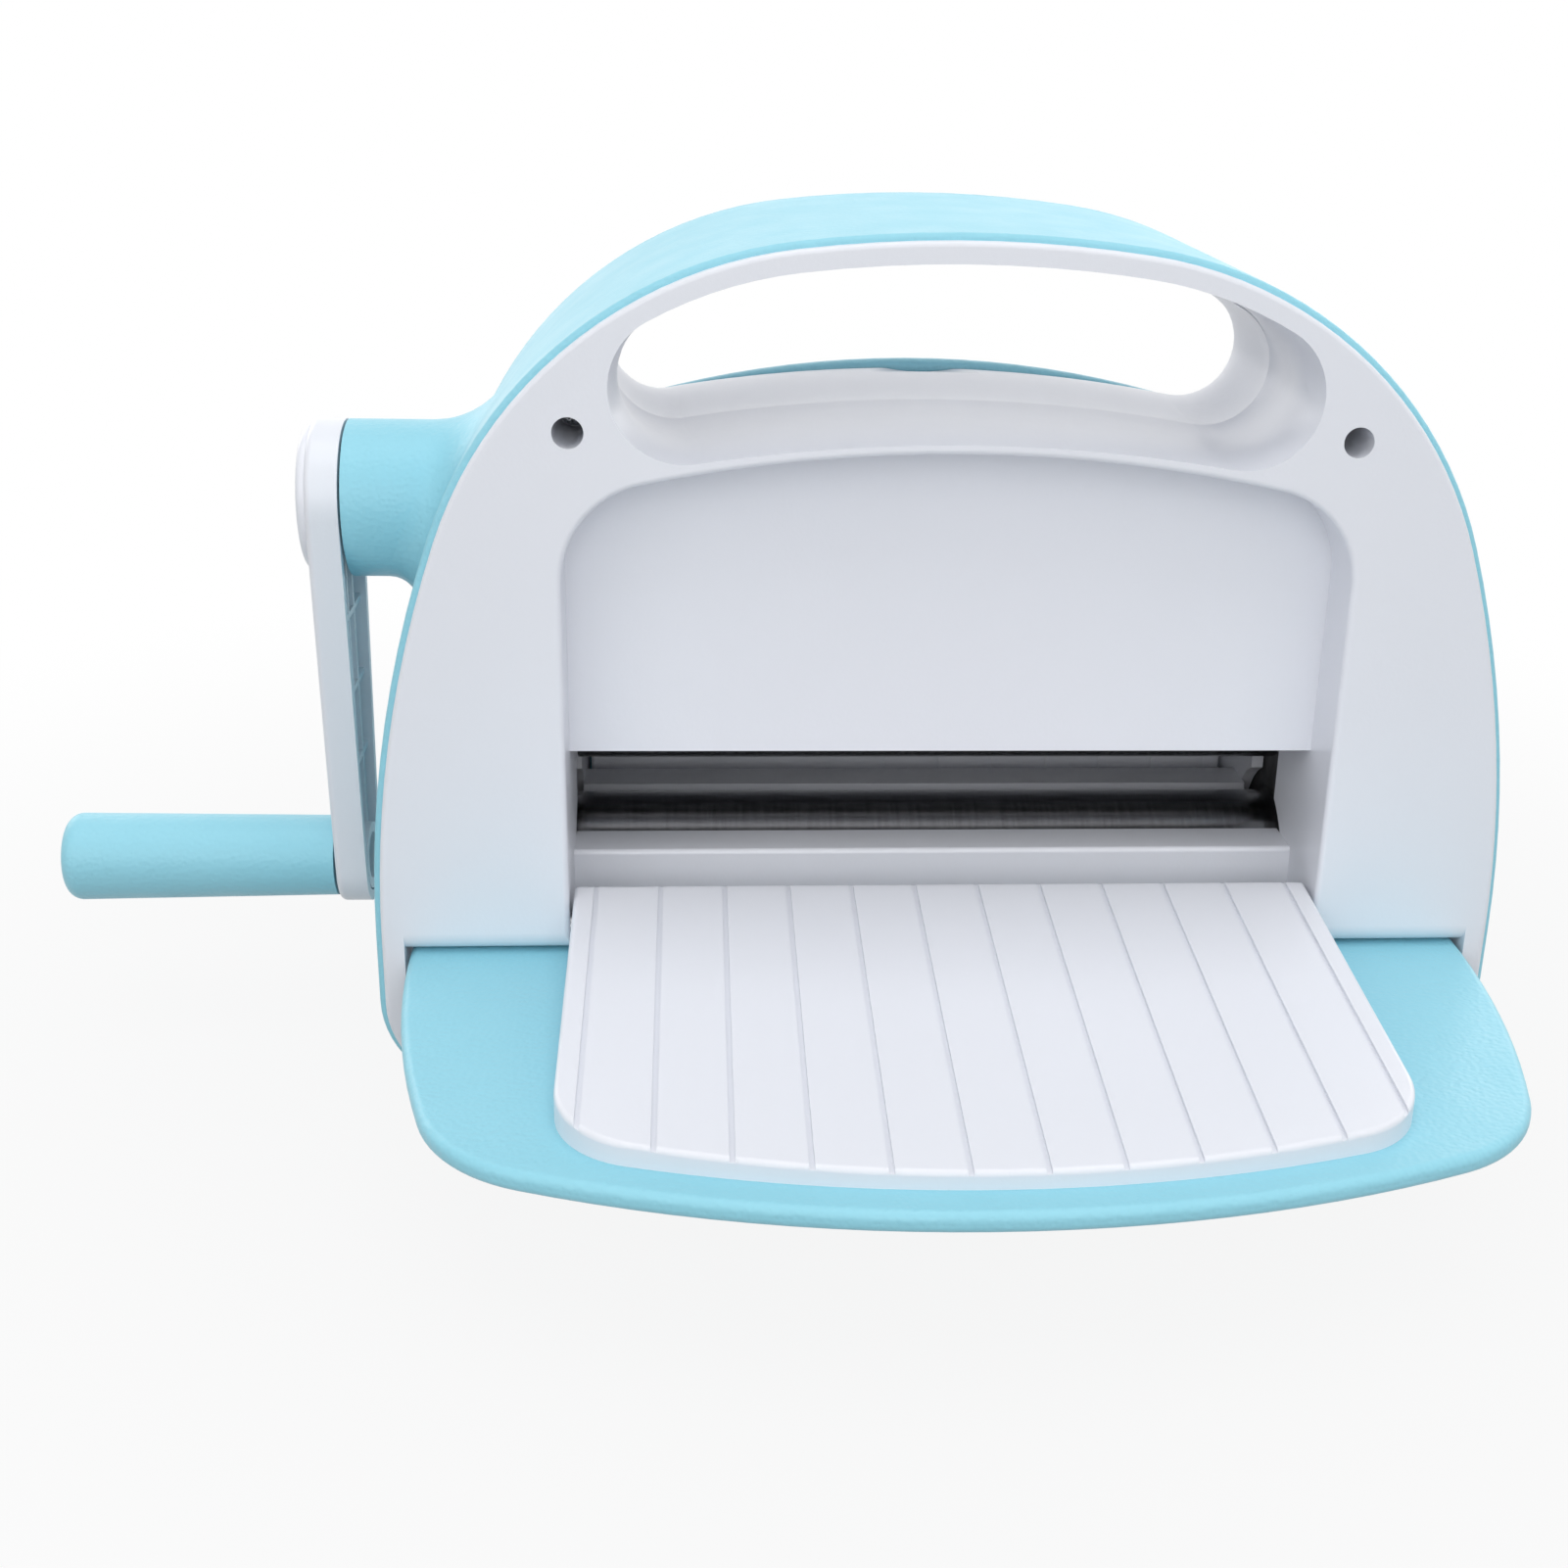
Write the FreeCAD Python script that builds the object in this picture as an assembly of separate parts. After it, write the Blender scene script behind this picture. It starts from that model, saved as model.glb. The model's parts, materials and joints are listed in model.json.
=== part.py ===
import FreeCAD, Part
import math
import os

from FreeCAD import Vector

# Body: two white covers inside a proud coloured band, sizes in millimetres
BODY_WIDTH = 223.6
BODY_HEIGHT = 173.3
BODY_DEPTH = 88.0
BELT_HEIGHT = 37.7
SIDE_RADIUS = 239.5
SHOULDER_RADIUS = 81.5
CROWN_RADIUS = 246.6
BASE_CORNER_RADIUS = 19.0
FOOT_HEIGHT = 3.0
FOOT_RADIUS = 8.0
FOOT_SIDE_INSET = 29.8
FOOT_FRONT_INSET = 14.0
BAND_PROUD = 1.3
BAND_WALL = 2.5
BAND_EDGE_ROUND = 1.0
COVER_WALL = 2.6
COVER_RIM = 1.6
COVER_EDGE_ROUND = 1.0
LIP_DEPTH = 6.0
LIP_WALL = 1.8
SEAM_GAP = 0.16

# Carrying window through the body; its sections give depth, inset, end radius and floor drop
WINDOW_FLOOR = 137.7
WINDOW_FLOOR_RADIUS = 314.0
FRONT_WINDOW = ((0.0, 4.0, 13.6, 0.8), (6.0, 4.2, 13.4, 0.2), (16.0, 4.3, 13.2, 0.0))
REAR_WINDOW = ((0.0, 4.4, 12.0, 1.2), (6.0, 4.4, 12.1, 0.3), (16.0, 4.4, 12.3, 0.0))
WINDOW_SEAM_INSET = 4.4
WINDOW_SEAM_END = 12.7
SCOOP_RADIUS = 42.0
SCOOP_DEPTH = 2.0
SCOOP_REACH = 12.0

# Recess that takes the folded tray, and the feed slot in its floor
PILLAR_WIDTH = 36.8
RECESS_TOP = 135.1
RECESS_CROWN = 285.0
RECESS_CORNER = 19.0
RECESS_DEPTH = 13.6
FRONT_RIM_ROUND = 1.1
REAR_RIM_ROUND = 0.5
SLOT_TOP = 72.4
SLOT_WALL_END = 9.5
SLOT_WALL_ROUND_GAP = 5.0
LEG_WIDTH = 4.4
NOTCH_DEPTH = 11.0

# Hinges and trays
HINGE_SETBACK = 4.0
HINGE_HEIGHT = 38.9
HINGE_BLOCK_HEIGHT = 9.0
PIN_RADIUS = 2.5
PIN_IN_PLATE = 9.0
PIN_IN_COVER = 11.0
TRAY_GAP = 0.4
TRAY_SIDE_INSET = 5.1
TRAY_THICKNESS = 4.0
TRAY_TIP = 138.3
TRAY_LIP = 6.0
TRAY_LIP_CORNER = 4.0
TRAY_SIDE_RADIUS = 235.0
TRAY_CORNER_RADIUS = 30.0
TRAY_CROWN_RADIUS = 222.0
TRAY_EDGE_ROUND = 1.7
PLATE_SIDE_GAP = 0.8
PLATE_TIP = 131.2
PLATE_TAIL = 3.3
PLATE_CORNER = 17.5
PLATE_CROWN = 215.0
PLATE_TIP_THICKNESS = 3.35
PLATE_TAIL_THICKNESS = 12.2
PLATE_WALL = 2.4
PLATE_EDGE_ROUND = 1.0
PLATE_TAIL_ROUND = 2.0
PLATE_RIB = 1.6
PLATE_RIB_X = (-38.1, 0.0, 38.1)
GROOVE_PITCH = 12.7
GROOVE_COUNT = 12
GROOVE_WIDTH = 1.0
GROOVE_DEPTH = 0.7
TRAY_SCREW_X = 54.0
TRAY_SCREW_RISE = (22.0, 66.0)

# Rollers, gears and the crank drive
ROLLER_RADIUS = 16.0
ROLLER_PROUD = 2.6
JOURNAL_RADIUS = 6.0
GEAR_MODULE = 1.5
PINION_TEETH = 16
DRIVE_TEETH = 36
SYNC_TEETH = 28
PRESSURE_ANGLE = math.radians(20.0)
DEDENDUM = 1.25
BACKLASH = 0.25
FLANK_STEPS = 3
GEAR_WIDTH = 6.0
GEAR_HUB_RADIUS = 10.0
GEAR_HUB_LENGTH = 2.0
GEAR_WEB = 4.0
CRANK_LENGTH = 78.5
FRAME_THICKNESS = 3.0
FRAME_COVER_GAP = 3.4
FRAME_RISE = 14.0
FRAME_TAPER = 10.0
FRAME_FLANGE = 14.0
FRAME_FLANGE_THICKNESS = 3.0
FRAME_GAP = 0.3
BASE_THICKNESS = 3.0
BUSH_WALL = 2.5
BUSH_FLANGE = 1.2
BUSH_FLANGE_RIM = 2.0
TIE_RADIUS = 4.0
TIE_TENON = 2.5
TIE_INSET = 12.0
TIE_DROP = 8.0
BED_TOP = 48.4
BED_SETBACK = 6.1
BED_LAP = 2.3
BED_WALL = 3.0
BED_SKIRT = 12.4
BED_RIB = 2.0
BED_RIB_COUNT = 5

# Crank hub, arm and grip
HUB_RADIUS = 15.8
HUB_REACH = 7.4
HUB_BLEND_TOP = 18.0
HUB_BLEND_LOW = 4.0
HUB_WALL = 4.0
HUB_BUSH_LENGTH = 12.0
ARM_GAP = 0.5
ARM_THICKNESS = 6.6
ARM_TIP_RADIUS = 9.8
ARM_WALL = 2.2
ARM_WEB = 2.2
ARM_RIB = 1.2
ARM_RIB_Y = (-3.2, 3.2)
ARM_CROSS_RIBS = (24.0, 40.0, 56.0)
ARM_CORE_RADIUS = 11.5
ARM_EDGE_ROUND = 1.4
BOSS_RISE = 1.8
BOSS_RADIUS = 14.6
GRIP_LENGTH = 56.6
GRIP_INNER_RADIUS = 8.6
GRIP_OUTER_RADIUS = 9.3
GRIP_END_ROUND = 3.2
GRIP_GAP = 0.5
AXLE_RADIUS = 3.0
AXLE_HEAD_RADIUS = 5.0
AXLE_HEAD = 2.0
AXLE_REACH = 44.0
AXLE_COLLAR = 0.8
AXLE_COLLAR_LENGTH = 2.0

# Fasteners
COVER_SCREW_INSET = 1.9
COVER_SCREW_Z = 138.3
COVER_SCREW_BORE = 2.9
COVER_BOSS_WALL = 2.0
COVER_SCREW_SEAT = 22.0
COVER_SCREW_SHANK = 1.6
COVER_SCREW_HEAD = 2.6
SMALL_SCREW_SHANK = 1.5
SMALL_SCREW_HEAD = 3.0
SMALL_SCREW_HEAD_HEIGHT = 1.6
SMALL_SCREW_LENGTH = 8.0
BASE_SCREW_SHANK = 2.0
BASE_SCREW_HEAD = 3.6
BASE_SCREW_INSET = 9.0
ARM_SCREW_SHANK = 2.5
ARM_SCREW_HEAD = 5.0
ARM_SCREW_HEAD_HEIGHT = 2.4
ARM_SCREW_LENGTH = 14.0

# Fits
RUNNING = 0.05
SEATED = 0.02
FACE_GAP = 0.3
OVERRUN = 1.0
TOLERANCE = 0.001

# Places that follow from the sizes above
FRONT = -BODY_DEPTH / 2
BAND_FRONT = FRONT + COVER_RIM
COVER_BOTTOM = FOOT_HEIGHT + BAND_PROUD
BAND_INSET = BAND_WALL - BAND_PROUD
FLOOR_INNER = COVER_BOTTOM + BAND_INSET
HINGE_Y = FRONT + HINGE_SETBACK
PILLAR_BOTTOM = HINGE_HEIGHT - HINGE_SETBACK
TRAY_INNER = FRONT - TRAY_GAP
TRAY_OUTER = TRAY_INNER - TRAY_THICKNESS
RECESS_WIDTH = BODY_WIDTH - 2 * PILLAR_WIDTH
RECESS_FLOOR = FRONT + RECESS_DEPTH
NOTCH_BACK = FRONT + NOTCH_DEPTH
COVER_SCREW_X = RECESS_WIDTH / 2 - COVER_SCREW_INSET
PLATE_HALF = RECESS_WIDTH / 2 - PLATE_SIDE_GAP
PLATE_FOOT = HINGE_HEIGHT - PLATE_TAIL
FOOT_X = BODY_WIDTH / 2 - FOOT_SIDE_INSET
FOOT_Y = BODY_DEPTH / 2 - FOOT_FRONT_INSET
TRAY_WIDTH = BODY_WIDTH - 2 * TRAY_SIDE_INSET
LOWER_Z = BED_TOP + ROLLER_PROUD - ROLLER_RADIUS
UPPER_Z = LOWER_Z + GEAR_MODULE * SYNC_TEETH
CRANK_HEIGHT = UPPER_Z + GEAR_MODULE * (PINION_TEETH + DRIVE_TEETH) / 2
BED_OUTER = RECESS_FLOOR + BED_SETBACK
BED_INNER = BED_LAP - ROLLER_RADIUS
FRAME_INNER = RECESS_WIDTH / 2 + COVER_WALL + FRAME_GAP
FRAME_OUTER = FRAME_INNER + FRAME_THICKNESS
FRAME_HALF_DEPTH = -NOTCH_BACK - COVER_WALL - FRAME_COVER_GAP
FRAME_TOP_HALF = FRAME_HALF_DEPTH - FRAME_TAPER
FRAME_TOP = CRANK_HEIGHT + FRAME_RISE
TIE_Y = FRAME_HALF_DEPTH - TIE_INSET
TIE_Z = CRANK_HEIGHT - TIE_DROP
BASE_SCREW_Y = FRAME_HALF_DEPTH - BASE_SCREW_INSET
GEAR_INNER = FRAME_OUTER + BUSH_FLANGE + FACE_GAP + GEAR_HUB_LENGTH
GEAR_OUTER = GEAR_INNER + GEAR_WIDTH
BASE_TOP = FLOOR_INNER + BASE_THICKNESS
HUB_END = BODY_WIDTH / 2 + HUB_REACH
ARM_INNER = HUB_END + ARM_GAP
ARM_OUTER = ARM_INNER + ARM_THICKNESS
BOSS_OUTER = ARM_OUTER + BOSS_RISE
GRIP_Z = CRANK_HEIGHT - CRANK_LENGTH
GRIP_START = ARM_OUTER + GRIP_GAP
GRIP_TIP = GRIP_START + GRIP_LENGTH


def at(x, z):
    return Vector(x, 0, z)


def towards(start, end, length):
    """Point that lies length away from start on the way to end."""
    step = end - start
    return start + step * (length / step.Length)


def crossing(centre_a, radius_a, centre_b, radius_b):
    """Crossing of two circles in the XZ plane, the one with the larger X."""
    step = centre_b - centre_a
    gap = step.Length
    along = (radius_a ** 2 - radius_b ** 2 + gap ** 2) / (2 * gap)
    across = math.sqrt(radius_a ** 2 - along ** 2)
    ahead = step * (1 / gap)
    side = Vector(-ahead.z, 0, ahead.x)
    foot = centre_a + ahead * along
    return max(foot + side * across, foot - side * across, key=lambda p: p.x)


def line(start, end):
    return Part.LineSegment(start, end).toShape()


def arc(centre, start, end):
    """Arc of less than half a turn about centre."""
    radius = (start - centre).Length
    middle = towards(centre, centre + (start - centre) + (end - centre), radius)
    return Part.Arc(start, middle, end).toShape()


def flip(point):
    return Vector(-point.x, point.y, point.z)


def symmetric_wire(right, top, bottom):
    """Closed wire from a right half that runs upwards, its mirror, and the two edges across."""
    left = [edge.mirror(Vector(), Vector(1, 0, 0)) for edge in reversed(right)]
    return Part.Wire(Part.__sortEdges__([bottom] + right + [top] + left))


def slab(wire, start, end):
    """Outline in the XZ plane as a solid from one depth to another."""
    face = Part.Face(wire)
    face.translate(Vector(0, start, 0))
    return face.extrude(Vector(0, end - start, 0))


def box(x, y, z):
    """Box from three (low, high) pairs."""
    size = (x[1] - x[0], y[1] - y[0], z[1] - z[0])
    return Part.makeBox(*size, Vector(x[0], y[0], z[0]))


def rod_x(start, end, y, z, radius):
    return Part.makeCylinder(radius, abs(end - start), Vector(min(start, end), y, z), Vector(1, 0, 0))


def rod_y(start, end, x, z, radius):
    return Part.makeCylinder(radius, abs(end - start), Vector(x, min(start, end), z), Vector(0, 1, 0))


def rod_z(start, end, x, y, radius):
    return Part.makeCylinder(radius, abs(end - start), Vector(x, y, min(start, end)))


def turned(profile, y, z):
    """Solid turned about a line along X, from (x, radius) points."""
    points = [Vector(x, y, z + radius) for x, radius in profile]
    face = Part.Face(Part.makePolygon(points + points[:1]))
    return face.revolve(Vector(0, y, z), Vector(1, 0, 0), 360)


def prism_x(points, start, end):
    """Polygon of (y, z) points as a solid from one X to another."""
    corners = [Vector(start, y, z) for y, z in points]
    face = Part.Face(Part.makePolygon(corners + corners[:1]))
    return face.extrude(Vector(end - start, 0, 0))


def joined(first, others):
    return first.fuse(list(others)).removeSplitter()


def behind(shape):
    """The same piece on the back of the body."""
    return shape.mirror(Vector(), Vector(0, 1, 0))


def rounded(shape, radius, wanted):
    """Shape with the edges that wanted picks rounded."""
    return shape.makeFillet(radius, [edge for edge in shape.Edges if wanted(edge)])


def blended(shape, radius_at, wanted):
    """Shape with the edges that wanted picks rounded, by a radius that follows their end points."""
    document = FreeCAD.newDocument()
    base = document.addObject("Part::Feature", "Base")
    base.Shape = shape
    blend = document.addObject("Part::Fillet", "Blend")
    blend.Base = base
    picks = []
    for number, edge in enumerate(base.Shape.Edges, 1):
        if wanted(edge):
            picks.append((number, radius_at(edge.firstVertex().Point), radius_at(edge.lastVertex().Point)))
    blend.Edges = picks
    document.recompute()
    result = blend.Shape.copy()
    FreeCAD.closeDocument(document.Name)
    return result


def flat_at(edge, axis, value):
    box_of_edge = edge.BoundBox
    low = getattr(box_of_edge, axis + "Min")
    high = getattr(box_of_edge, axis + "Max")
    return abs(low - value) < TOLERANCE and abs(high - value) < TOLERANCE


class Arch:
    """Arch outline: side, shoulder and crown arcs that run into each other over a flat base."""

    def __init__(self, half, belt, top, bottom, corner, radii):
        self.half, self.belt, self.top = half, belt, top
        self.bottom, self.corner = bottom, corner
        self.side, self.shoulder, self.crown = radii
        self.side_centre = at(half - self.side, belt)
        self.crown_centre = at(0, top - self.crown)
        self.shoulder_centre = crossing(self.side_centre, self.side - self.shoulder,
                                        self.crown_centre, self.crown - self.shoulder)

    def wire(self, grow=0.0):
        half = self.half + grow
        bottom = self.bottom - grow
        corner = self.corner + grow
        foot = at(half - corner, bottom)
        wall = at(half, bottom + corner)
        belt = at(half, self.belt)
        low = towards(self.side_centre, self.shoulder_centre, self.side + grow)
        high = towards(self.crown_centre, self.shoulder_centre, self.crown + grow)
        right = [arc(at(half - corner, bottom + corner), foot, wall), line(wall, belt),
                 arc(self.side_centre, belt, low), arc(self.shoulder_centre, low, high)]
        return symmetric_wire(right, arc(self.crown_centre, high, flip(high)), line(flip(foot), foot))


BODY = Arch(BODY_WIDTH / 2, BELT_HEIGHT, BODY_HEIGHT, COVER_BOTTOM, BASE_CORNER_RADIUS,
            (SIDE_RADIUS, SHOULDER_RADIUS, CROWN_RADIUS))
TRAY = Arch(TRAY_WIDTH / 2, HINGE_HEIGHT, TRAY_TIP, HINGE_HEIGHT - TRAY_LIP, TRAY_LIP_CORNER,
            (TRAY_SIDE_RADIUS, TRAY_CORNER_RADIUS, TRAY_CROWN_RADIUS))


def panel_wire(half, bottom, top, corner, crown):
    """Panel with straight sides, rounded upper corners and a crowned top."""
    crown_centre = at(0, top - crown)
    lift = math.sqrt((crown - corner) ** 2 - (half - corner) ** 2)
    corner_centre = crown_centre + at(half - corner, lift)
    side = at(half, corner_centre.z)
    high = towards(crown_centre, corner_centre, crown)
    right = [line(at(half, bottom), side), arc(corner_centre, side, high)]
    foot = line(at(-half, bottom), at(half, bottom))
    return symmetric_wire(right, arc(crown_centre, high, flip(high)), foot)


def window_wire(depth, inset, end, drop, grow):
    """Carrying window outline at one depth, following the arch of the body over a floor that drops."""
    crown = CROWN_RADIUS - inset + grow
    shoulder = SHOULDER_RADIUS - inset + grow
    end = end + grow
    floor = WINDOW_FLOOR_RADIUS - grow
    floor_centre = at(0, WINDOW_FLOOR - drop - WINDOW_FLOOR_RADIUS)
    end_centre = crossing(BODY.shoulder_centre, shoulder - end, floor_centre, floor + end)
    high = towards(BODY.crown_centre, BODY.shoulder_centre, crown)
    outer = towards(BODY.shoulder_centre, end_centre, shoulder)
    low = towards(floor_centre, end_centre, floor)
    edges = [arc(BODY.crown_centre, flip(high), high), arc(BODY.shoulder_centre, high, outer),
             arc(end_centre, outer, low), arc(floor_centre, low, flip(low)),
             arc(flip(end_centre), flip(low), flip(outer)),
             arc(flip(BODY.shoulder_centre), flip(outer), flip(high))]
    wire = Part.Wire(edges)
    wire.translate(Vector(0, depth, 0))
    return wire


def window_solid(sections, grow, overrun):
    """Half of the window's tunnel, from the outer face to the seam at mid depth."""
    wires = []
    for depth, inset, end, drop in sections:
        wires.append(window_wire(FRONT + depth, inset, end, drop, grow))
    wires.append(window_wire(overrun, WINDOW_SEAM_INSET, WINDOW_SEAM_END, 0, grow))
    return Part.makeLoft(wires, True, False)


def recess_wire(grow):
    return panel_wire(RECESS_WIDTH / 2 + grow, PILLAR_BOTTOM, RECESS_TOP + grow,
                      RECESS_CORNER + grow, RECESS_CROWN + grow)


def hinge_block(side):
    """Solid lower end of a pillar, with a nose that is round about the hinge line."""
    inner = RECESS_WIDTH / 2
    outer = BODY_WIDTH / 2 - LEG_WIDTH / 2
    start = inner if side > 0 else -outer
    top = HINGE_HEIGHT + HINGE_BLOCK_HEIGHT
    back = NOTCH_BACK + COVER_WALL
    hinge = Vector(start, HINGE_Y, HINGE_HEIGHT)
    nose_top = hinge - Vector(0, HINGE_SETBACK, 0)
    nose_foot = hinge - Vector(0, 0, HINGE_SETBACK)
    front_top = Vector(start, FRONT, top)
    back_top = Vector(start, back, top)
    back_foot = Vector(start, back, PILLAR_BOTTOM)
    edges = [line(front_top, nose_top), arc(hinge, nose_top, nose_foot), line(nose_foot, back_foot),
             line(back_foot, back_top), line(back_top, front_top)]
    return Part.Face(Part.Wire(edges)).extrude(Vector(outer - inner, 0, 0))


def cover_face():
    """Front plate, its locating lip inside the band, and the tray notch between the legs."""
    plate = slab(BODY.wire(), FRONT, BAND_FRONT)
    plate = rounded(plate, COVER_EDGE_ROUND, lambda edge: flat_at(edge, "Y", FRONT))
    fit = -BAND_INSET - FACE_GAP
    lip = slab(BODY.wire(fit), BAND_FRONT, BAND_FRONT + LIP_DEPTH)
    lip = lip.cut(slab(BODY.wire(fit - LIP_WALL), FRONT + COVER_WALL, BAND_FRONT + LIP_DEPTH))
    face = joined(plate, [lip])
    half = BODY_WIDTH / 2 - LEG_WIDTH
    notch = box((-half, half), (FRONT, NOTCH_BACK), (0, PILLAR_BOTTOM))
    face = face.cut(notch)
    legs = slab(BODY.wire(fit), BAND_FRONT, NOTCH_BACK)
    legs = legs.common(box((-BODY_WIDTH, BODY_WIDTH), (BAND_FRONT, NOTCH_BACK), (0, PILLAR_BOTTOM)))
    apron = slab(BODY.wire(fit), NOTCH_BACK, NOTCH_BACK + COVER_WALL)
    apron = apron.common(box((-BODY_WIDTH, BODY_WIDTH), (FRONT, 0), (0, PILLAR_BOTTOM)))
    return joined(face, [legs.cut(notch), apron])


def cover_boss(x):
    radius = COVER_SCREW_BORE + COVER_BOSS_WALL
    return rod_y(FRONT + COVER_WALL / 2, -SEAM_GAP / 2, x, COVER_SCREW_Z, radius)


def cover_screw_bore(x):
    """Deep counterbore for the screw head, then the shank's hole."""
    seat = FRONT + COVER_SCREW_SEAT
    wide = rod_y(FRONT, seat, x, COVER_SCREW_Z, COVER_SCREW_BORE)
    narrow = rod_y(seat, 0, x, COVER_SCREW_Z, COVER_SCREW_SHANK + SEATED)
    return wide.fuse(narrow)


def pin_hole(side):
    start = side * RECESS_WIDTH / 2
    end = side * (PLATE_HALF + PIN_IN_COVER + FACE_GAP)
    return rod_x(start, end, HINGE_Y, HINGE_HEIGHT, PIN_RADIUS + RUNNING)


def slot_wall(side):
    """Wall at one end of the feed slot, notched round the lower roller."""
    ends = sorted((side * RECESS_WIDTH / 2, side * (RECESS_WIDTH / 2 + COVER_WALL)))
    wall = box(ends, (RECESS_FLOOR, -SLOT_WALL_END), (PILLAR_BOTTOM, SLOT_TOP + COVER_WALL))
    radius = ROLLER_RADIUS + SLOT_WALL_ROUND_GAP
    return wall.cut(rod_x(*ends, 0, LOWER_Z, radius))


def is_recess_rim(edge):
    """Edges round the recess in the front face, above the foot of its sides."""
    extent = edge.BoundBox
    within = max(abs(extent.XMin), abs(extent.XMax)) < RECESS_WIDTH / 2 + TOLERANCE
    return flat_at(edge, "Y", FRONT) and within and extent.ZMax > PILLAR_BOTTOM + TOLERANCE


def recess_cut(rim):
    """Room of the recess with the rounding of its rim."""
    room = slab(recess_wire(0), FRONT - COVER_WALL, RECESS_FLOOR)
    ahead = box((-BODY_WIDTH, BODY_WIDTH), (FRONT - COVER_WALL, FRONT), (PILLAR_BOTTOM, BODY_HEIGHT))
    return rounded(joined(ahead, [room]), rim, is_recess_rim)


def cover_shell(rim, window):
    """Moulded cover: face, recess box with the feed slot, window tunnel and screw bosses."""
    recess_box = slab(recess_wire(COVER_WALL), FRONT + COVER_WALL / 2, RECESS_FLOOR + COVER_WALL)
    tunnel = window_solid(window, COVER_WALL, -SEAM_GAP / 2)
    front_half = box((-BODY_WIDTH, BODY_WIDTH), (FRONT + COVER_WALL / 2, 0), (0, BODY_HEIGHT))
    bosses = [cover_boss(x) for x in (-COVER_SCREW_X, COVER_SCREW_X)]
    walls = [slot_wall(side) for side in (-1, 1)]
    shell = joined(cover_face(), [recess_box, tunnel.common(front_half)] + bosses + walls)
    half = BODY_WIDTH / 2 - LEG_WIDTH
    nose_room = box((-half, half), (FRONT, HINGE_Y), (0, HINGE_HEIGHT))
    shell = joined(shell.cut(nose_room), [hinge_block(side) for side in (-1, 1)])
    inner = RECESS_WIDTH / 2
    slot = box((-inner, inner), (FRONT, 0), (PILLAR_BOTTOM - COVER_WALL, SLOT_TOP))
    swing = box((-inner, inner), (FRONT, NOTCH_BACK), (0, SLOT_TOP))
    cuts = [recess_cut(rim), slot.cut(box((-inner, inner), (NOTCH_BACK, 0), (0, PILLAR_BOTTOM))), swing]
    cuts += [window_solid(window, 0, COVER_WALL)]
    cuts += [cover_screw_bore(x) for x in (-COVER_SCREW_X, COVER_SCREW_X)]
    cuts += [pin_hole(side) for side in (-1, 1)]
    return shell.cut(cuts).removeSplitter()


def thumb_scoop():
    """Shallow dip in the window floor that lets a thumb reach the tip of the folded tray."""
    centre_z = WINDOW_FLOOR - SCOOP_DEPTH + SCOOP_RADIUS
    dip = rod_y(FRONT, FRONT + SCOOP_REACH, 0, centre_z, SCOOP_RADIUS)
    return dip.common(box((-BODY_WIDTH, BODY_WIDTH), (FRONT, 0), (0, WINDOW_FLOOR + SCOOP_DEPTH)))


def body_band():
    """Proud ring round the body, with the crank hub blended into its left side."""
    depth = -BAND_FRONT
    ring = slab(BODY.wire(BAND_PROUD), BAND_FRONT, depth)
    ring = rounded(ring, BAND_EDGE_ROUND, lambda e: flat_at(e, "Y", BAND_FRONT) or flat_at(e, "Y", depth))
    hub = rod_x(-HUB_END, 0, 0, CRANK_HEIGHT, HUB_RADIUS)
    solid = joined(ring, [hub])
    solid = blended(solid, hub_blend_radius, is_hub_root)
    inside = slab(BODY.wire(-BAND_INSET), BAND_FRONT, depth)
    bore = rod_x(-HUB_END + HUB_BUSH_LENGTH, 0, 0, CRANK_HEIGHT, HUB_RADIUS - HUB_WALL)
    seat = rod_x(-HUB_END, 0, 0, CRANK_HEIGHT, JOURNAL_RADIUS + BUSH_WALL + SEATED)
    band = solid.cut([inside, bore, seat])
    cuts = []
    for x, y in base_screw_spots():
        cuts.append(rod_z(0, BASE_TOP, x, y, BASE_SCREW_SHANK + RUNNING))
        cuts.append(rod_z(0, base_screw_head_top(), x, y, BASE_SCREW_HEAD + FACE_GAP))
    return band.cut(cuts).removeSplitter()


def is_hub_root(edge):
    """Edges where the hub runs into the band."""
    points = [vertex.Point for vertex in edge.Vertexes]
    offsets = [math.hypot(p.y, p.z - CRANK_HEIGHT) - HUB_RADIUS for p in points]
    on_hub = all(abs(offset) < TOLERANCE for offset in offsets)
    inside = edge.BoundBox.XMin > -HUB_END + TOLERANCE
    return on_hub and inside and not isinstance(edge.Curve, Part.Line)


def hub_blend_radius(point):
    """Tight under the hub, growing to a long flare on top of it."""
    share = max(0, (point.z - CRANK_HEIGHT) / HUB_RADIUS)
    return HUB_BLEND_LOW + (HUB_BLEND_TOP - HUB_BLEND_LOW) * share


def base_screw_spots():
    x = FRAME_INNER - FRAME_FLANGE / 2
    return [(sx * x, sy * BASE_SCREW_Y) for sx in (-1, 1) for sy in (-1, 1)]


def base_screw_head_top():
    return FLOOR_INNER - BAND_WALL / 2


def base_plate():
    plate = box((-FRAME_OUTER, FRAME_OUTER), (-FRAME_HALF_DEPTH, FRAME_HALF_DEPTH), (FLOOR_INNER, BASE_TOP))
    holes = [rod_z(0, BASE_TOP, x, y, BASE_SCREW_SHANK + RUNNING) for x, y in base_screw_spots()]
    return plate.cut(holes)


def base_screws():
    screws = []
    for x, y in base_screw_spots():
        head = rod_z(FOOT_HEIGHT, base_screw_head_top(), x, y, BASE_SCREW_HEAD)
        shank = rod_z(FOOT_HEIGHT, BASE_TOP + FRAME_FLANGE_THICKNESS, x, y, BASE_SCREW_SHANK)
        screws.append(joined(head, [shank]))
    return screws


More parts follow.
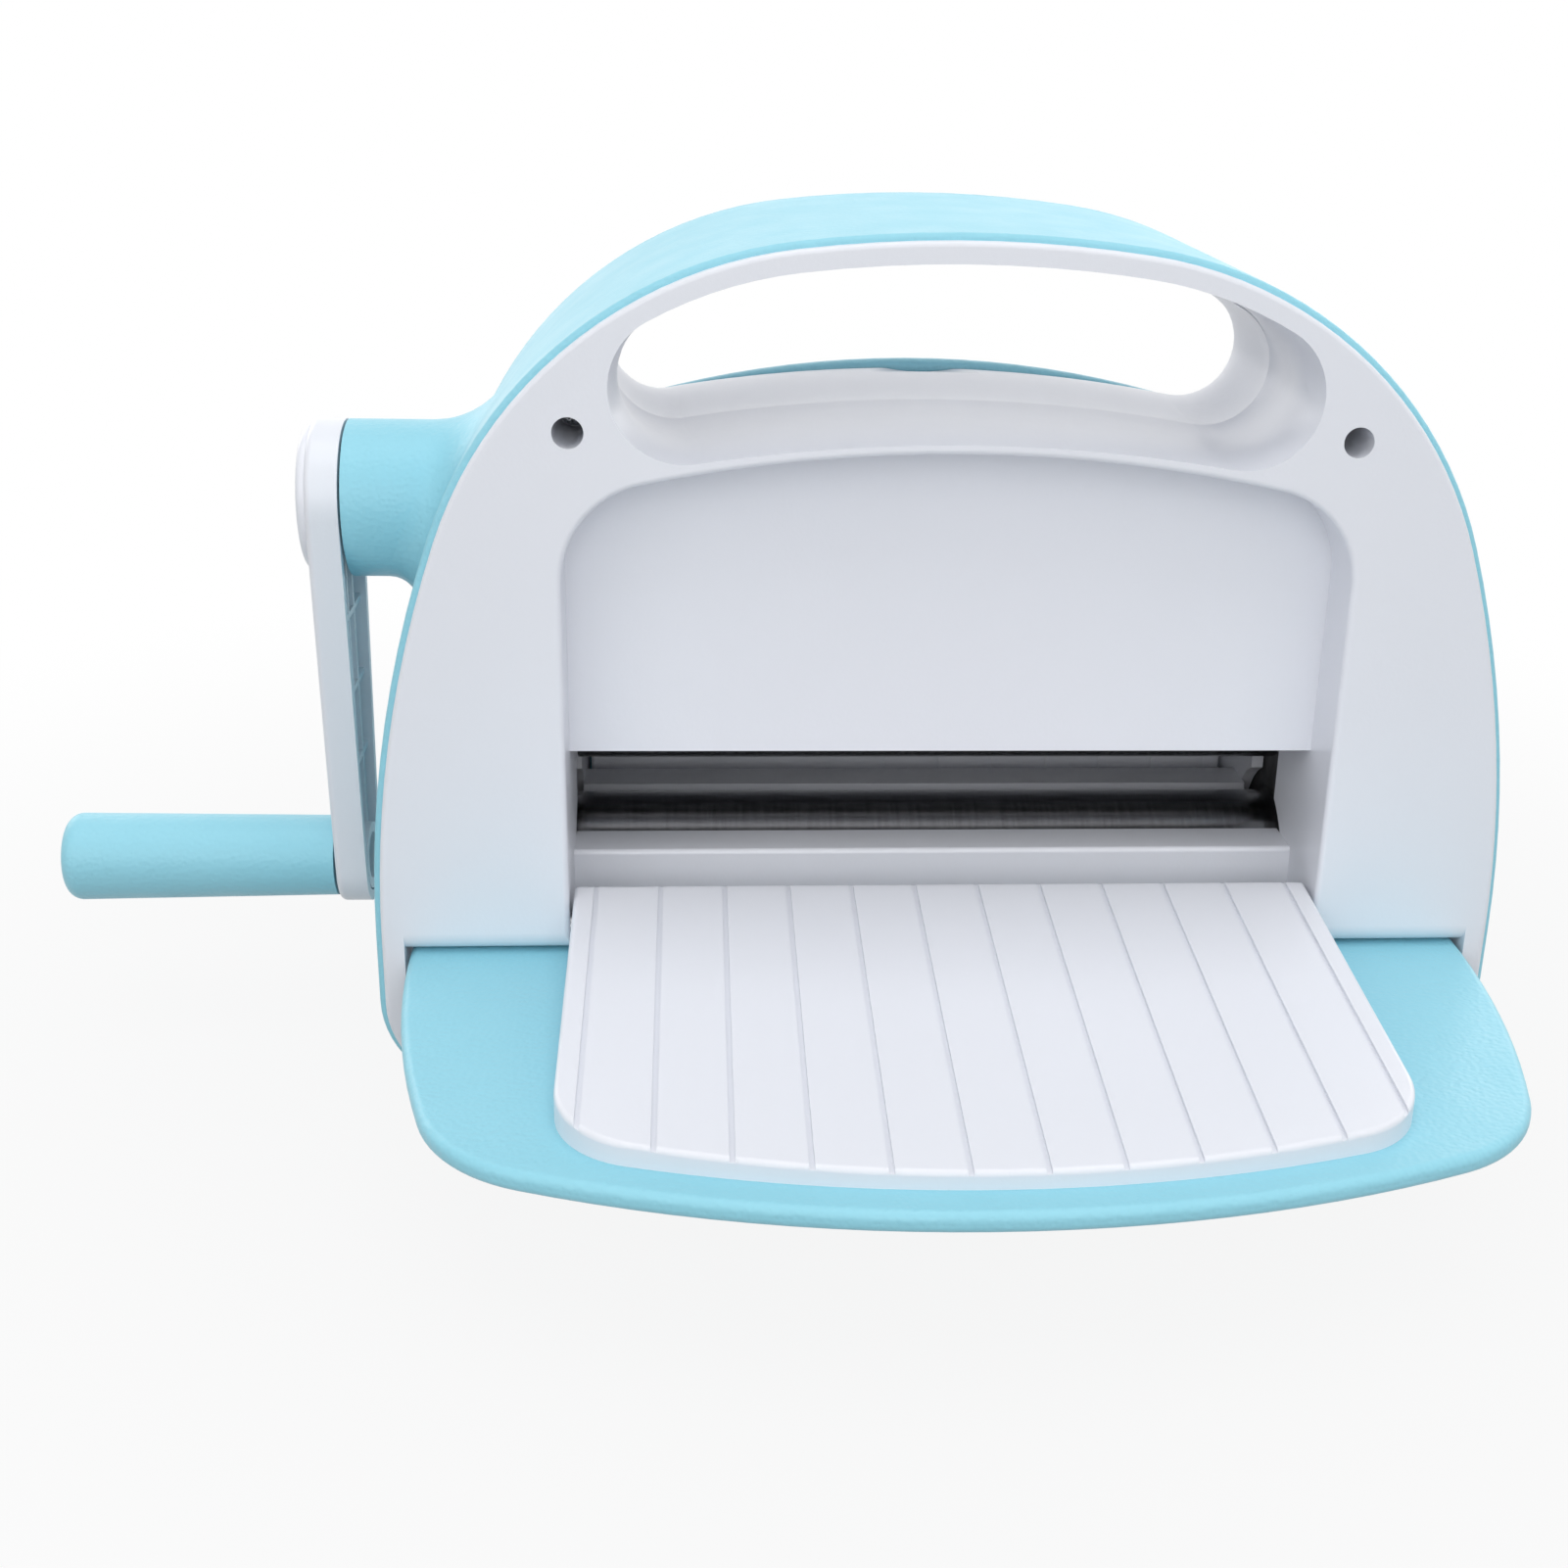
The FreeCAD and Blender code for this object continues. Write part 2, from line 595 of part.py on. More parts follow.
def rubber_feet():
    feet = []
    for x in (-FOOT_X, FOOT_X):
        for y in (-FOOT_Y, FOOT_Y):
            foot = rod_z(0, FOOT_HEIGHT, x, y, FOOT_RADIUS)
            feet.append(rounded(foot, FOOT_HEIGHT / 3, lambda e: flat_at(e, "Z", 0)))
    return feet


def side_frame(side, shafts):
    """Steel cheek with an inward foot flange and a bush hole for each shaft."""
    outline = [(-FRAME_HALF_DEPTH, BASE_TOP), (FRAME_HALF_DEPTH, BASE_TOP),
               (FRAME_HALF_DEPTH, UPPER_Z), (FRAME_TOP_HALF, FRAME_TOP),
               (-FRAME_TOP_HALF, FRAME_TOP), (-FRAME_HALF_DEPTH, UPPER_Z)]
    cheek = prism_x(outline, side * FRAME_INNER, side * FRAME_OUTER)
    ends = sorted((side * (FRAME_INNER - FRAME_FLANGE), side * FRAME_OUTER))
    depth = (-FRAME_HALF_DEPTH, FRAME_HALF_DEPTH)
    flange = box(ends, depth, (BASE_TOP, BASE_TOP + FRAME_FLANGE_THICKNESS))
    frame = joined(cheek, [flange])
    reach = (side * (FRAME_INNER - OVERRUN), side * (FRAME_OUTER + OVERRUN))
    cuts = [rod_x(*reach, 0, z, JOURNAL_RADIUS + BUSH_WALL + SEATED) for z in shafts]
    cuts += [rod_x(*reach, y, TIE_Z, TIE_TENON + SEATED) for y in (-TIE_Y, TIE_Y)]
    top = BASE_TOP + FRAME_FLANGE_THICKNESS
    cuts += [rod_z(BASE_TOP, top, x, y, BASE_SCREW_SHANK + SEATED) for x, y in base_screw_spots()]
    return frame.cut(cuts)


def bush(side, z, start, length):
    """Flanged plain bush; start is its flanged outer face."""
    outer = JOURNAL_RADIUS + BUSH_WALL
    bore = JOURNAL_RADIUS + RUNNING
    rim = outer + BUSH_FLANGE_RIM
    flange_end = start - BUSH_FLANGE
    end = start - length
    profile = [(start, bore), (start, rim), (flange_end, rim), (flange_end, outer), (end, outer), (end, bore)]
    return turned([(side * x, r) for x, r in profile], 0, z)


def roller_bushes():
    start = FRAME_OUTER + BUSH_FLANGE
    length = BUSH_FLANGE + FRAME_THICKNESS
    return [bush(side, z, start, length) for side in (-1, 1) for z in (UPPER_Z, LOWER_Z)]


def crank_bushes():
    frame_bush = bush(-1, CRANK_HEIGHT, FRAME_OUTER + BUSH_FLANGE, BUSH_FLANGE + FRAME_THICKNESS)
    outer = JOURNAL_RADIUS + BUSH_WALL
    start = HUB_END - FACE_GAP
    end = HUB_END - HUB_BUSH_LENGTH
    bore = JOURNAL_RADIUS + RUNNING
    profile = [(-start, bore), (-start, outer), (-end, outer), (-end, bore)]
    return [frame_bush, turned(profile, 0, CRANK_HEIGHT)]


def tie_bars():
    bars = []
    for y in (-TIE_Y, TIE_Y):
        bar = rod_x(-FRAME_INNER, FRAME_INNER, y, TIE_Z, TIE_RADIUS)
        bars.append(joined(bar, [rod_x(-FRAME_OUTER, FRAME_OUTER, y, TIE_Z, TIE_TENON)]))
    return bars


def feed_bed():
    """Sill between the slot walls that the plates slide over, with a ribbed skirt in front."""
    half = RECESS_WIDTH / 2
    low = BED_TOP - BED_WALL
    behind_skirt = BED_OUTER + BED_WALL
    top = box((-half, half), (BED_OUTER, BED_INNER), (low, BED_TOP))
    skirt = box((-half, half), (BED_OUTER, behind_skirt), (BED_TOP - BED_SKIRT, BED_TOP))
    bed = joined(top, [skirt])
    bed = rounded(bed, BED_WALL / 3, lambda e: flat_at(e, "Y", BED_OUTER) and flat_at(e, "Z", BED_TOP))
    step = 2 * half / (BED_RIB_COUNT + 1)
    drop = BED_INNER - behind_skirt
    rib = [(behind_skirt, low), (BED_INNER, low), (behind_skirt, low - drop)]
    ribs = []
    for number in range(1, BED_RIB_COUNT + 1):
        x = -half + number * step - BED_RIB / 2
        ribs.append(prism_x(rib, x, x + BED_RIB))
    return joined(bed, ribs)


def cover_screws():
    seat = FRONT + COVER_SCREW_SEAT
    screws = []
    for x in (-COVER_SCREW_X, COVER_SCREW_X):
        head = rod_y(seat - COVER_SCREW_HEAD, seat, x, COVER_SCREW_Z, COVER_SCREW_HEAD)
        shank = rod_y(seat, -FRONT - COVER_SCREW_SEAT, x, COVER_SCREW_Z, COVER_SCREW_SHANK)
        screws.append(joined(head, [shank]))
    return screws


def tray_screw_spots():
    return [(x, HINGE_HEIGHT + rise) for x in (-TRAY_SCREW_X, TRAY_SCREW_X) for rise in TRAY_SCREW_RISE]


def tray_base():
    """Coloured tray, drawn folded up against the front face."""
    base = slab(TRAY.wire(), TRAY_OUTER, TRAY_INNER)
    faces = (TRAY_OUTER, TRAY_INNER)
    base = rounded(base, TRAY_EDGE_ROUND, lambda edge: any(flat_at(edge, "Y", face) for face in faces))
    cuts = []
    for x, z in tray_screw_spots():
        cuts.append(rod_y(TRAY_OUTER, TRAY_INNER, x, z, SMALL_SCREW_SHANK + RUNNING))
        cuts.append(rod_y(TRAY_OUTER, TRAY_OUTER + SMALL_SCREW_HEAD_HEIGHT, x, z, SMALL_SCREW_HEAD + RUNNING))
    return base.cut(cuts)


def plate_wedge(inset, low, high):
    """Tapered block between the tray and the plate's sloping face, inset from that face."""
    slope = (PLATE_TAIL_THICKNESS - PLATE_TIP_THICKNESS) / (PLATE_TIP - PLATE_FOOT)

    def thick(z):
        return PLATE_TAIL_THICKNESS - slope * (z - PLATE_FOOT) - inset

    points = [(TRAY_INNER, low), (TRAY_INNER + thick(low), low),
              (TRAY_INNER + thick(high), high), (TRAY_INNER, high)]
    return prism_x(points, -BODY_WIDTH, BODY_WIDTH)


def plate_grooves():
    first = -(GROOVE_COUNT - 1) / 2 * GROOVE_PITCH
    low = PLATE_FOOT - GROOVE_PITCH
    skin = plate_wedge(-GROOVE_DEPTH, low, PLATE_TIP).cut(plate_wedge(GROOVE_DEPTH, low, PLATE_TIP))
    strips = []
    for number in range(GROOVE_COUNT):
        x = first + number * GROOVE_PITCH
        strip = box((x - GROOVE_WIDTH / 2, x + GROOVE_WIDTH / 2), (TRAY_OUTER, 0), (low, PLATE_TIP))
        strips.append(strip.common(skin))
    return strips


def plate_pin_hole(side):
    start = side * (PLATE_HALF - PIN_IN_PLATE)
    end = side * (PLATE_HALF + OVERRUN)
    return rod_x(start, end, HINGE_Y, HINGE_HEIGHT, PIN_RADIUS + SEATED)


def tray_plate():
    """White grooved wedge, hollow on the tray side, with ribs, screw bosses and solid hinge ends."""
    outline = panel_wire(PLATE_HALF, PLATE_FOOT, PLATE_TIP, PLATE_CORNER, PLATE_CROWN)
    block = slab(outline, TRAY_INNER, 0).common(plate_wedge(0, PLATE_FOOT, PLATE_TIP))
    block = rounded(block, PLATE_TAIL_ROUND, is_plate_tail)
    block = rounded(block, PLATE_EDGE_ROUND, is_plate_rim)
    hollow = panel_wire(PLATE_HALF - PLATE_WALL, PLATE_FOOT + PLATE_WALL, PLATE_TIP - PLATE_WALL,
                        PLATE_CORNER - PLATE_WALL, PLATE_CROWN - PLATE_WALL)
    room = slab(hollow, TRAY_INNER, 0).common(plate_wedge(PLATE_WALL, PLATE_FOOT, PLATE_TIP))
    keep = [rod_y(TRAY_INNER, 0, x, z, SMALL_SCREW_SHANK + PLATE_WALL) for x, z in tray_screw_spots()]
    rise = (PLATE_FOOT, PLATE_TIP)
    keep += [box((x - PLATE_RIB / 2, x + PLATE_RIB / 2), (TRAY_INNER, 0), rise) for x in PLATE_RIB_X]
    reach = PLATE_HALF - PIN_IN_PLATE - PLATE_WALL
    for ends in ((-PLATE_HALF, -reach), (reach, PLATE_HALF)):
        keep.append(box(ends, (TRAY_INNER, 0), (PLATE_FOOT, HINGE_HEIGHT + 2 * PIN_RADIUS)))
    cuts = [room.cut(keep)] + plate_grooves() + [plate_pin_hole(side) for side in (-1, 1)]
    depth = TRAY_OUTER + SMALL_SCREW_LENGTH + FACE_GAP
    cuts += [rod_y(TRAY_INNER, depth, x, z, SMALL_SCREW_SHANK + SEATED) for x, z in tray_screw_spots()]
    return block.cut(cuts)


def is_plate_tail(edge):
    """Edge across the thick end of the plate's grooved face."""
    return flat_at(edge, "Z", PLATE_FOOT) and edge.BoundBox.YMin > TRAY_INNER + TOLERANCE


def is_plate_rim(edge):
    """Edges round the plate's grooved face, apart from its foot."""
    extent = edge.BoundBox
    return extent.YMin > TRAY_INNER + TOLERANCE and extent.ZMax > PLATE_FOOT + TOLERANCE


def tray_screws():
    screws = []
    for x, z in tray_screw_spots():
        head = rod_y(TRAY_OUTER, TRAY_OUTER + SMALL_SCREW_HEAD_HEIGHT, x, z, SMALL_SCREW_HEAD)
        shank = rod_y(TRAY_OUTER, TRAY_OUTER + SMALL_SCREW_LENGTH, x, z, SMALL_SCREW_SHANK)
        screws.append(joined(head, [shank]))
    return screws


def hinge_pins():
    start = PLATE_HALF - PIN_IN_PLATE + FACE_GAP
    end = PLATE_HALF + PIN_IN_COVER
    return [rod_x(side * start, side * end, HINGE_Y, HINGE_HEIGHT, PIN_RADIUS) for side in (-1, 1)]


def opened(shape):
    """A folded tray piece swung down to its working position."""
    copy = shape.copy()
    copy.rotate(Vector(0, HINGE_Y, HINGE_HEIGHT), Vector(1, 0, 0), 90)
    return copy


def involute(angle):
    return math.tan(angle) - angle


def gear(teeth, start, z, tooth_angle, bore):
    """Involute spur gear with a tooth centred on tooth_angle in the YZ plane."""
    pitch = teeth * GEAR_MODULE / 2
    base = pitch * math.cos(PRESSURE_ANGLE)
    tip = pitch + GEAR_MODULE
    root = pitch - DEDENDUM * GEAR_MODULE
    half = (math.pi * GEAR_MODULE / 2 - BACKLASH) / (2 * pitch)
    low = max(base, root)
    flank = []
    for step in range(FLANK_STEPS + 1):
        radius = low + (tip - low) * step / FLANK_STEPS
        spread = half + involute(PRESSURE_ANGLE) - involute(math.acos(min(1.0, base / radius)))
        flank.append((radius, spread))
    flank.insert(0, (root, flank[0][1]))
    points = []
    for tooth in range(teeth):
        centre = tooth_angle + 2 * math.pi * tooth / teeth
        rising = [(radius, centre - spread) for radius, spread in flank]
        falling = [(radius, centre + spread) for radius, spread in reversed(flank)]
        points += [(r * math.cos(a), z + r * math.sin(a)) for r, a in rising + falling]
    side = 1 if start > 0 else -1
    end = start + side * GEAR_WIDTH
    blank = prism_x(points, start, end)
    hub = rod_x(start - side * GEAR_HUB_LENGTH, end, 0, z, GEAR_HUB_RADIUS)
    wheel = joined(blank, [hub])
    if root - GEAR_HUB_RADIUS > 2 * GEAR_MODULE:
        ring = rod_x(start + side * GEAR_WEB, end, 0, z, root - GEAR_MODULE)
        wheel = wheel.cut(ring.cut(rod_x(start, end, 0, z, GEAR_HUB_RADIUS)))
    return wheel.cut(rod_x(start - side * GEAR_HUB_LENGTH, end, 0, z, bore))


def roller(z, half, left_end, right_end):
    """Steel roller with turned-down journals at both ends."""
    profile = [(-left_end, 0), (-left_end, JOURNAL_RADIUS), (-half, JOURNAL_RADIUS), (-half, ROLLER_RADIUS),
               (half, ROLLER_RADIUS), (half, JOURNAL_RADIUS), (right_end, JOURNAL_RADIUS), (right_end, 0)]
    return turned(profile, 0, z)


def crank_shaft():
    shaft = rod_x(-ARM_OUTER, -FRAME_INNER, 0, CRANK_HEIGHT, JOURNAL_RADIUS)
    thread = rod_x(-ARM_OUTER, -ARM_OUTER + ARM_SCREW_LENGTH, 0, CRANK_HEIGHT, ARM_SCREW_SHANK + SEATED)
    return shaft.cut(thread)


def arm_outline(start, end, grow):
    """Tapered arm blank between two X planes: the hub circle, the tip circle and their tangents."""
    hub = HUB_RADIUS + grow
    tip = ARM_TIP_RADIUS + grow
    lean = math.asin((hub - tip) / CRANK_LENGTH)
    side = math.cos(lean)
    rise = -math.sin(lean)
    web = [(hub * side, CRANK_HEIGHT + hub * rise), (tip * side, GRIP_Z + tip * rise),
           (-tip * side, GRIP_Z + tip * rise), (-hub * side, CRANK_HEIGHT + hub * rise)]
    ends = [rod_x(start, end, 0, CRANK_HEIGHT, hub), rod_x(start, end, 0, GRIP_Z, tip)]
    return joined(prism_x(web, start, end), ends)


def crank_arm():
    """Arm with a ribbed channel on the body side, a raised boss and a socket for the grip's axle."""
    blank = arm_outline(-ARM_INNER, -ARM_OUTER, 0)
    blank = rounded(blank, ARM_EDGE_ROUND, lambda e: flat_at(e, "X", -ARM_OUTER))
    boss = rod_x(-ARM_INNER, -BOSS_OUTER, 0, CRANK_HEIGHT, BOSS_RADIUS)
    boss = rounded(boss, ARM_EDGE_ROUND, lambda e: flat_at(e, "X", -BOSS_OUTER))
    arm = joined(blank, [boss])
    floor = -ARM_OUTER + ARM_WEB
    channel = arm_outline(-ARM_INNER, floor, -ARM_WALL)
    keep = [rod_x(-ARM_INNER, floor, 0, CRANK_HEIGHT, ARM_CORE_RADIUS)]
    keep.append(rod_x(-ARM_INNER, floor, 0, GRIP_Z, AXLE_HEAD_RADIUS + ARM_WALL))
    rib_face = -ARM_INNER - ARM_RIB
    for y in ARM_RIB_Y:
        keep.append(box((floor, rib_face), (y - ARM_RIB / 2, y + ARM_RIB / 2), (GRIP_Z, CRANK_HEIGHT)))
    for drop in ARM_CROSS_RIBS:
        middle = CRANK_HEIGHT - drop
        thickness = (middle - ARM_RIB / 2, middle + ARM_RIB / 2)
        keep.append(box((floor, rib_face), (-HUB_RADIUS, HUB_RADIUS), thickness))
    cuts = [channel.cut(keep)]
    cuts.append(rod_x(-ARM_INNER, -ARM_OUTER, 0, CRANK_HEIGHT, JOURNAL_RADIUS + SEATED))
    cuts.append(rod_x(-ARM_OUTER, -BOSS_OUTER, 0, CRANK_HEIGHT, ARM_SCREW_HEAD + RUNNING))
    cuts.append(rod_x(-ARM_INNER, -ARM_OUTER, 0, GRIP_Z, AXLE_RADIUS + SEATED))
    cuts.append(rod_x(-ARM_INNER, floor, 0, GRIP_Z, AXLE_HEAD_RADIUS + RUNNING))
    return arm.cut(cuts)


def arm_screw():
    top = -ARM_OUTER - ARM_SCREW_HEAD_HEIGHT
    head = rod_x(-ARM_OUTER, top, 0, CRANK_HEIGHT, ARM_SCREW_HEAD)
    head = rounded(head, ARM_SCREW_HEAD_HEIGHT / 3, lambda edge: flat_at(edge, "X", top))
    shank = rod_x(-ARM_OUTER, -ARM_OUTER + ARM_SCREW_LENGTH - FACE_GAP, 0, CRANK_HEIGHT, ARM_SCREW_SHANK)
    return joined(head, [shank])


def grip_axle():
    """Headed pin that the grip snaps onto, held by a collar near its tip."""
    head_face = ARM_OUTER - ARM_WEB
    tip = GRIP_START + AXLE_REACH
    collar = tip - 2 * AXLE_COLLAR_LENGTH
    big = AXLE_RADIUS + AXLE_COLLAR
    head_back = head_face - AXLE_HEAD
    profile = [(head_back, 0), (head_back, AXLE_HEAD_RADIUS),
               (head_face, AXLE_HEAD_RADIUS), (head_face, AXLE_RADIUS),
               (collar, AXLE_RADIUS), (collar, big), (collar + AXLE_COLLAR_LENGTH, big),
               (tip, AXLE_RADIUS - AXLE_COLLAR), (tip, 0)]
    return turned([(-x, r) for x, r in profile], 0, GRIP_Z)


def crank_grip():
    """Tapered grip with a rounded end and a blind bore grooved for the axle's collar."""
    profile = [(GRIP_START, 0), (GRIP_START, GRIP_INNER_RADIUS), (GRIP_TIP, GRIP_OUTER_RADIUS), (GRIP_TIP, 0)]
    grip = turned([(-x, r) for x, r in profile], 0, GRIP_Z)
    grip = rounded(grip, GRIP_END_ROUND, lambda e: flat_at(e, "X", -GRIP_TIP))
    tip = GRIP_START + AXLE_REACH
    collar = tip - 2 * AXLE_COLLAR_LENGTH
    bore = AXLE_RADIUS + RUNNING
    big = AXLE_RADIUS + AXLE_COLLAR + FACE_GAP
    hole = [(GRIP_START, 0), (GRIP_START, bore), (collar - FACE_GAP, bore), (collar - FACE_GAP, big),
            (tip + FACE_GAP, big), (tip + FACE_GAP, 0)]
    return grip.cut(turned([(-x, r) for x, r in hole], 0, GRIP_Z))


def export(name, shapes):
    solids = shapes if isinstance(shapes, list) else [shapes]
    for shape in solids:
        if not shape.isValid():
            raise ValueError(name + " is not a valid solid")
    whole = solids[0] if len(solids) == 1 else Part.makeCompound(solids)
    whole.exportStep(os.path.join("parts", name + ".step"))


def main():
    os.makedirs("parts", exist_ok=True)
    export("front_cover", cover_shell(FRONT_RIM_ROUND, FRONT_WINDOW))
    export("rear_cover", behind(cover_shell(REAR_RIM_ROUND, REAR_WINDOW).cut(thumb_scoop())))
    export("body_band", body_band())
    export("base_plate", base_plate())
    export("base_screws", base_screws())
    export("rubber_feet", rubber_feet())
    export("left_side_frame", side_frame(-1, (CRANK_HEIGHT, UPPER_Z, LOWER_Z)))
    export("right_side_frame", side_frame(1, (UPPER_Z, LOWER_Z)))
    export("tie_bars", tie_bars())
    export("roller_bushes", roller_bushes())
    export("crank_bushes", crank_bushes())
    export("front_feed_bed", feed_bed())
    export("rear_feed_bed", behind(feed_bed()))
    export("cover_screws", cover_screws())
    export("front_tray_base", opened(tray_base()))
    export("front_tray_plate", opened(tray_plate()))
    export("front_tray_screws", [opened(screw) for screw in tray_screws()])
    export("front_hinge_pins", hinge_pins())
    export("rear_tray_base", behind(tray_base()))
    export("rear_tray_plate", behind(tray_plate()))
    export("rear_tray_screws", [behind(screw) for screw in tray_screws()])
    export("rear_hinge_pins", [behind(pin) for pin in hinge_pins()])
    up = math.pi / 2
    gap_down = -up + math.pi / PINION_TEETH
    gap_up = up + math.pi / SYNC_TEETH
    gear_bore = JOURNAL_RADIUS + SEATED
    export("upper_roller", roller(UPPER_Z, RECESS_WIDTH / 2 - FACE_GAP, GEAR_OUTER, GEAR_OUTER))
    export("upper_drive_gear", gear(DRIVE_TEETH, -GEAR_INNER, UPPER_Z, up, gear_bore))
    export("upper_sync_gear", gear(SYNC_TEETH, GEAR_INNER, UPPER_Z, -up, gear_bore))
    export("lower_roller", roller(LOWER_Z, FRAME_INNER - FACE_GAP, FRAME_OUTER + BUSH_FLANGE, GEAR_OUTER))
    export("lower_sync_gear", gear(SYNC_TEETH, GEAR_INNER, LOWER_Z, gap_up, gear_bore))
    export("crank_shaft", crank_shaft())
    export("crank_pinion", gear(PINION_TEETH, -GEAR_INNER, CRANK_HEIGHT, gap_down, gear_bore))
    export("crank_arm", crank_arm())
    export("arm_screw", arm_screw())
    export("grip_axle", grip_axle())
    export("crank_grip", crank_grip())


main()
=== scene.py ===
import json
import math

import bmesh
import bpy
from mathutils import Color, Matrix, Vector


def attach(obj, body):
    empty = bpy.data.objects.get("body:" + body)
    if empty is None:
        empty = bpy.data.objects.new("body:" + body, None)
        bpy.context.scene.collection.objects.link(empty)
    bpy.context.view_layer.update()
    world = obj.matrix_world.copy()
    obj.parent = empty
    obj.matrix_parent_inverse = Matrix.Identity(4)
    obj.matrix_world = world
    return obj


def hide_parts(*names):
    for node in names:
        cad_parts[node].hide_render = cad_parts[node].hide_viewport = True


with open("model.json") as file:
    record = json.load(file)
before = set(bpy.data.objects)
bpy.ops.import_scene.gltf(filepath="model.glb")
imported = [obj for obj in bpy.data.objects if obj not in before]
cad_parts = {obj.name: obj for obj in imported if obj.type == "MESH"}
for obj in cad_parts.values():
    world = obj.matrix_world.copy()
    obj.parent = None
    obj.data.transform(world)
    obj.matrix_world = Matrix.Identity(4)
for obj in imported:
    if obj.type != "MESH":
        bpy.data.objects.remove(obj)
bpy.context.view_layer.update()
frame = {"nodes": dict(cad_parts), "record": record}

# Camera of the photograph: its picture in pixels, its place in metres and radians
PHOTO_SIZE = 1601
FOCAL_PIXELS = 2055.2
CENTRE_PIXEL = (880.5, 800.5)
CAMERA_PLACE = Vector((-0.05046, -0.40799, 0.21057))
CAMERA_PITCH = 0.366
CAMERA_YAW = 0.0893
CAMERA_ROLL = -0.0298
SENSOR_WIDTH = 36.0  # millimetres
NEAREST_SEEN = 0.01

# Colours as they look under plain light, with the two tints that each varies between
WHITE = ("E4E6EC", "E6E8EE")
BLUE = ("8FCFDF", "93D2E2")
STEEL = ("A2A2A4", "ABABAD")
BLACK = ("1B1B1C", "242425")
BRONZE = ("9C7440", "B98F55")
GEAR_STEEL = ("77777A", "8D8D90")
ZINC = ("B9BCC2", "CDD0D5")
RUBBER = ("17171A", "212124")

# Finishes: the pattern values that the two tints and the least and most roughness belong to
TINT_STOPS = (0.35, 0.65)
ROUGH_STOPS = (0.3, 0.7)
PLASTIC_IOR = 1.5
BARE_METAL = 1.0
TURNING_MARKS = (1, 0.05, 0.05)  # rings about X
CUTTING_MARKS = (0.3, 1, 1)  # streaks along X
MICRON = 1e-6

# Screws: shares of the head's radius and height and of the shank's radius, and lengths in metres
SCREW_SLOT = "screw_zinc"
HEAD_PROFILE = ((0.70, 1.0), (0.88, 0.88), (0.97, 0.62), (1.0, 0.3), (1.0, 0.0))  # radius, height
RIM_SHARE = 0.98  # of the head's radius; points further out are on its rim
CROSS_ARMS = 4
CROSS_REACH = 0.58
CROSS_HALF = 0.14
CROSS_DEPTH = 0.65
CROSS_DRAFT = 0.6  # size of the cross at its bottom
THREAD_PITCH = 0.55
THREAD_DEPTH = 0.2
THREAD_RUN = 0.012  # longest thread
THREAD_ROWS = 6  # rings of points in each pitch
TIP_TAPER = 0.75
TIP_PITCHES = 2  # how many pitches the taper takes
ROUND_STEPS = 32
SAME_PLACE = 1e-6
SHARP_ANGLE = math.radians(35)

# Studio: the floor shows its shading through plain white, and only white further from the object
FLOOR_TINT = "A8A8A8"
FLOOR_HALF = 8.0
WHITE_DISTANCES = (0.12, 0.4)
WHITE_NEAR = 0.9  # share of plain white up to the first distance
WHITE_FAR = 1.0  # and from the second on
SKY_TINT = "F4F6FA"
SKY_STRENGTH = 0.47
PLAIN_WHITE = (1, 1, 1, 1)

# Lamps: name, place, point it faces, width in metres and power in watts
LAMPS = (
    ("key", (-0.75, -0.85, 0.62), (0, 0, 0.09), 0.8, 2.6),
    ("fill", (0.6, -0.85, 0.7), (0, 0, 0.09), 0.8, 1.5),
    ("front", (-0.05, -1.05, 0.45), (0, 0, 0.06), 0.6, 2.4),
    ("top", (0.0, -0.3, 1.9), (0, 0, 0.08), 1.6, 14.0),
    ("back", (0.0, 1.1, 0.7), (0, 0, 0.14), 1.6, 3.3),
    ("back_left", (-0.85, 0.95, 0.5), (0, 0, 0.09), 0.6, 2.3),
    ("back_right", (0.85, 0.95, 0.5), (0, 0, 0.09), 0.6, 2.3),
    ("side", (1.1, 0.15, 0.6), (0, 0, 0.09), 0.8, 1.4),
)


def linear(code):
    """Linear colour from a six-digit display colour."""
    channels = [level / 255 for level in bytes.fromhex(code)]
    return [*Color(channels).from_srgb_to_scene_linear(), 1.0]


